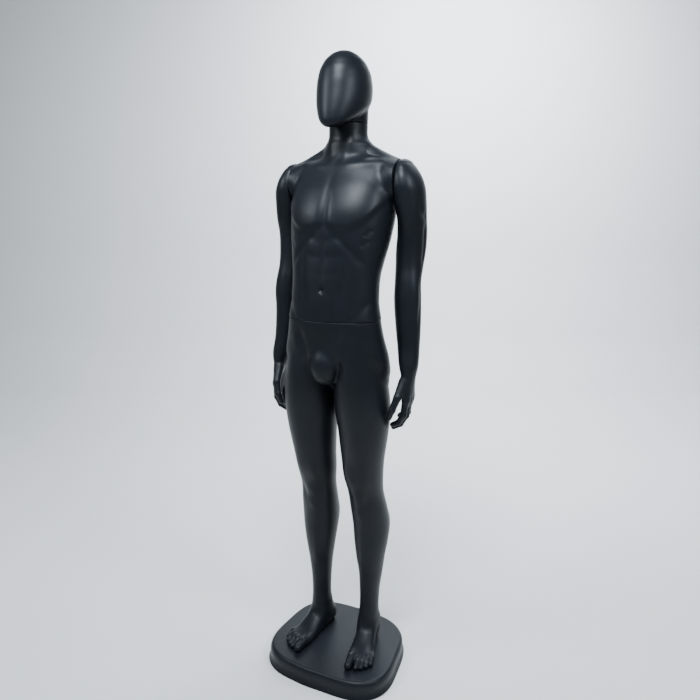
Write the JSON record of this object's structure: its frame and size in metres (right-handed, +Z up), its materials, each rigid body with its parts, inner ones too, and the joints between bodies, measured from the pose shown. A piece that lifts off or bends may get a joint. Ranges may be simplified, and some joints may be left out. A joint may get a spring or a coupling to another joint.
{
  "type": "full body mannequin",
  "caption": "Full body shop display mannequin in satin black plastic, with a featureless egg head, turning arms, a twist-fit waist and a moulded floor base.",
  "frame": {"origin": "centre of the base's underside, on the floor", "axes": "+Z up along the standing figure, the figure faces -Y, its left hand is on +X"},
  "size_m": [0.5022, 0.3565, 1.905],
  "materials": {
    "body_plastic": "satin black moulded plastic with a faint grey sheen",
    "coupling_plastic": "moulded nylon",
    "bush_plastic": "natural nylon",
    "pad_rubber": "moulded rubber",
    "zinc_steel": "zinc plated"
  },
  "bodies": {
    "stand_and_legs": {"base_shell": "body_plastic", "base_pads": "pad_rubber", "floor_plate": "zinc_steel", "floor_plate_screws": "zinc_steel", "foot_rod_washers": "zinc_steel", "foot_rod_nuts": "zinc_steel", "left_foot_rod": "zinc_steel", "right_foot_rod": "zinc_steel", "left_foot_bush": "bush_plastic", "right_foot_bush": "bush_plastic", "lower_body_shell": "body_plastic", "hip_waist_plate": "coupling_plastic", "hip_plate_screws": "zinc_steel"},
    "torso": {"torso_shell": "body_plastic", "waist_hub": "coupling_plastic", "waist_hub_screws": "zinc_steel", "torso_neck_plate": "zinc_steel", "torso_neck_screws": "zinc_steel", "neck_pivot": "zinc_steel", "neck_friction_washer": "bush_plastic", "neck_spring_washer": "zinc_steel", "neck_nut": "zinc_steel", "left_shoulder_socket": "coupling_plastic", "left_socket_screws": "zinc_steel", "right_shoulder_socket": "coupling_plastic", "right_socket_screws": "zinc_steel"},
    "head": {"head_shell": "body_plastic", "head_neck_plate": "zinc_steel", "head_plate_screws": "zinc_steel"},
    "left_arm": {"left_arm_shell": "body_plastic", "left_arm_stud": "zinc_steel", "left_arm_screws": "zinc_steel", "left_shoulder_washer": "bush_plastic", "left_shoulder_spring": "zinc_steel", "left_shoulder_nut": "zinc_steel"},
    "right_arm": {"right_arm_shell": "body_plastic", "right_arm_stud": "zinc_steel", "right_arm_screws": "zinc_steel", "right_shoulder_washer": "bush_plastic", "right_shoulder_spring": "zinc_steel", "right_shoulder_nut": "zinc_steel"}
  },
  "joints": [
    {"name": "waist_twist", "type": "hinge", "parent": "stand_and_legs", "child": "torso", "pos_m": [0, -0.042, 1.0985], "axis": [0, 0, 1], "range_deg": [0, 50]},
    {"name": "head_turn", "type": "hinge", "parent": "torso", "child": "head", "pos_m": [0, 0.048, 1.688], "axis": [0, 0, 1], "continuous": true},
    {"name": "left_shoulder_turn", "type": "hinge", "parent": "torso", "child": "left_arm", "pos_m": [0.177, 0.05, 1.517], "axis": [1, 0, 0], "continuous": true},
    {"name": "right_shoulder_turn", "type": "hinge", "parent": "torso", "child": "right_arm", "pos_m": [-0.177, 0.05, 1.517], "axis": [1, 0, 0], "continuous": true}
  ]
}
